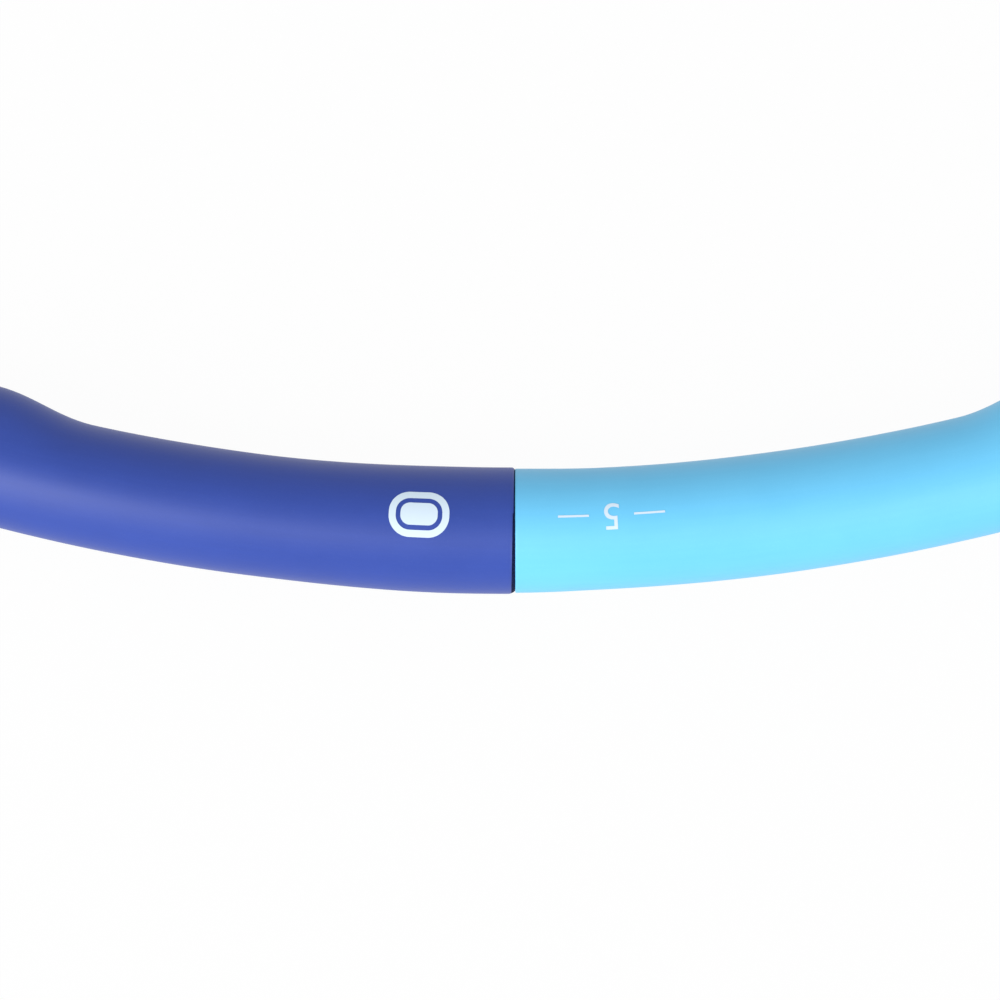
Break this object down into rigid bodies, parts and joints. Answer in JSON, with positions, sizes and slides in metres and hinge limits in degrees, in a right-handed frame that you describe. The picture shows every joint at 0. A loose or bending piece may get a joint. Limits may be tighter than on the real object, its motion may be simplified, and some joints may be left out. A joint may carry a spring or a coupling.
{
  "type": "sectional exercise hoop",
  "caption": "Foam-covered exercise hoop with a waved inner side, which pulls apart into curved sections locked by press-button joints",
  "frame": {"origin": "centre of the hoop, in the middle of its thickness", "axes": "+Z is the hoop's axis, with the press buttons on its +Z side; +X and +Y lie in the hoop's plane and each passes through a joint between two sections"},
  "size_m": [1.0312, 1.0312, 0.0322],
  "materials": {
    "foam_dark_blue": "matte",
    "foam_cyan": "matte",
    "core_plastic": "satin",
    "plug_plastic": "satin",
    "socket_plastic": "satin",
    "spring_steel": "satin",
    "rivet_steel": "satin"
  },
  "bodies": {
    "section_1": {"foam_sleeve_1": "foam_cyan", "core_tube_1": "core_plastic", "plug_1": "plug_plastic", "socket_1": "socket_plastic", "plug_pin_1": "rivet_steel", "clip_rivet_1": "rivet_steel"},
    "section_2": {"foam_sleeve_2": "foam_dark_blue", "core_tube_2": "core_plastic", "plug_2": "plug_plastic", "socket_2": "socket_plastic", "plug_pin_2": "rivet_steel", "clip_rivet_2": "rivet_steel"},
    "section_3": {"foam_sleeve_3": "foam_cyan", "core_tube_3": "core_plastic", "plug_3": "plug_plastic", "socket_3": "socket_plastic", "plug_pin_3": "rivet_steel", "clip_rivet_3": "rivet_steel"},
    "section_4": {"foam_sleeve_4": "foam_dark_blue", "core_tube_4": "core_plastic", "plug_4": "plug_plastic", "socket_4": "socket_plastic", "plug_pin_4": "rivet_steel", "clip_rivet_4": "rivet_steel"},
    "section_5": {"foam_sleeve_5": "foam_cyan", "core_tube_5": "core_plastic", "plug_5": "plug_plastic", "socket_5": "socket_plastic", "plug_pin_5": "rivet_steel", "clip_rivet_5": "rivet_steel"},
    "section_6": {"foam_sleeve_6": "foam_dark_blue", "core_tube_6": "core_plastic", "plug_6": "plug_plastic", "socket_6": "socket_plastic", "plug_pin_6": "rivet_steel", "clip_rivet_6": "rivet_steel"},
    "section_7": {"foam_sleeve_7": "foam_cyan", "core_tube_7": "core_plastic", "plug_7": "plug_plastic", "socket_7": "socket_plastic", "plug_pin_7": "rivet_steel", "clip_rivet_7": "rivet_steel"},
    "section_8": {"foam_sleeve_8": "foam_dark_blue", "core_tube_8": "core_plastic", "plug_8": "plug_plastic", "socket_8": "socket_plastic", "plug_pin_8": "rivet_steel", "clip_rivet_8": "rivet_steel"},
    "snap_1": {"snap_clip_1": "spring_steel"},
    "snap_2": {"snap_clip_2": "spring_steel"},
    "snap_3": {"snap_clip_3": "spring_steel"},
    "snap_4": {"snap_clip_4": "spring_steel"},
    "snap_5": {"snap_clip_5": "spring_steel"},
    "snap_6": {"snap_clip_6": "spring_steel"},
    "snap_7": {"snap_clip_7": "spring_steel"},
    "snap_8": {"snap_clip_8": "spring_steel"}
  },
  "joints": [
    {"name": "section_2_pull", "type": "slide", "parent": "section_1", "child": "section_2", "axis": [-0.7071, -0.7071, 0], "range_m": [0, 0.04]},
    {"name": "section_3_pull", "type": "slide", "parent": "section_2", "child": "section_3", "axis": [0, -1, 0], "range_m": [0, 0.04]},
    {"name": "section_4_pull", "type": "slide", "parent": "section_3", "child": "section_4", "axis": [0.7071, -0.7071, 0], "range_m": [0, 0.04]},
    {"name": "section_5_pull", "type": "slide", "parent": "section_4", "child": "section_5", "axis": [1, 0, 0], "range_m": [0, 0.04]},
    {"name": "section_6_pull", "type": "slide", "parent": "section_5", "child": "section_6", "axis": [0.7071, 0.7071, 0], "range_m": [0, 0.04]},
    {"name": "section_7_pull", "type": "slide", "parent": "section_6", "child": "section_7", "axis": [0, 1, 0], "range_m": [0, 0.04]},
    {"name": "section_8_pull", "type": "slide", "parent": "section_7", "child": "section_8", "axis": [-0.7071, 0.7071, 0], "range_m": [0, 0.04]},
    {"name": "snap_1_press", "type": "hinge", "parent": "section_1", "child": "snap_1", "pos_m": [-0.008, 0.49892, 0.00365], "axis": [0, 1, 0], "range_deg": [0, 6.6], "stiffness_Nm_per_rad": 2.4, "springref_deg": -1.15, "deforming": ["snap_clip_1"]},
    {"name": "snap_2_press", "type": "hinge", "parent": "section_2", "child": "snap_2", "pos_m": [-0.35845, 0.34713, 0.00365], "axis": [-0.7071, 0.7071, 0], "range_deg": [0, 6.6], "stiffness_Nm_per_rad": 2.4, "springref_deg": -1.15, "deforming": ["snap_clip_2"]},
    {"name": "snap_3_press", "type": "hinge", "parent": "section_3", "child": "snap_3", "pos_m": [-0.49892, -0.008, 0.00365], "axis": [-1, 0, 0], "range_deg": [0, 6.6], "stiffness_Nm_per_rad": 2.4, "springref_deg": -1.15, "deforming": ["snap_clip_3"]},
    {"name": "snap_4_press", "type": "hinge", "parent": "section_4", "child": "snap_4", "pos_m": [-0.34713, -0.35845, 0.00365], "axis": [-0.7071, -0.7071, 0], "range_deg": [0, 6.6], "stiffness_Nm_per_rad": 2.4, "springref_deg": -1.15, "deforming": ["snap_clip_4"]},
    {"name": "snap_5_press", "type": "hinge", "parent": "section_5", "child": "snap_5", "pos_m": [0.008, -0.49892, 0.00365], "axis": [0, -1, 0], "range_deg": [0, 6.6], "stiffness_Nm_per_rad": 2.4, "springref_deg": -1.15, "deforming": ["snap_clip_5"]},
    {"name": "snap_6_press", "type": "hinge", "parent": "section_6", "child": "snap_6", "pos_m": [0.35845, -0.34713, 0.00365], "axis": [0.7071, -0.7071, 0], "range_deg": [0, 6.6], "stiffness_Nm_per_rad": 2.4, "springref_deg": -1.15, "deforming": ["snap_clip_6"]},
    {"name": "snap_7_press", "type": "hinge", "parent": "section_7", "child": "snap_7", "pos_m": [0.49892, 0.008, 0.00365], "axis": [1, 0, 0], "range_deg": [0, 6.6], "stiffness_Nm_per_rad": 2.4, "springref_deg": -1.15, "deforming": ["snap_clip_7"]},
    {"name": "snap_8_press", "type": "hinge", "parent": "section_8", "child": "snap_8", "pos_m": [0.34713, 0.35845, 0.00365], "axis": [0.7071, 0.7071, 0], "range_deg": [0, 6.6], "stiffness_Nm_per_rad": 2.4, "springref_deg": -1.15, "deforming": ["snap_clip_8"]}
  ],
  "couplings": [
    {"joint": "section_3_pull", "follows": "section_2_pull", "ratio": 1},
    {"joint": "section_4_pull", "follows": "section_2_pull", "ratio": 1},
    {"joint": "section_5_pull", "follows": "section_2_pull", "ratio": 1},
    {"joint": "section_6_pull", "follows": "section_2_pull", "ratio": 1},
    {"joint": "section_7_pull", "follows": "section_2_pull", "ratio": 1},
    {"joint": "section_8_pull", "follows": "section_2_pull", "ratio": 1}
  ]
}
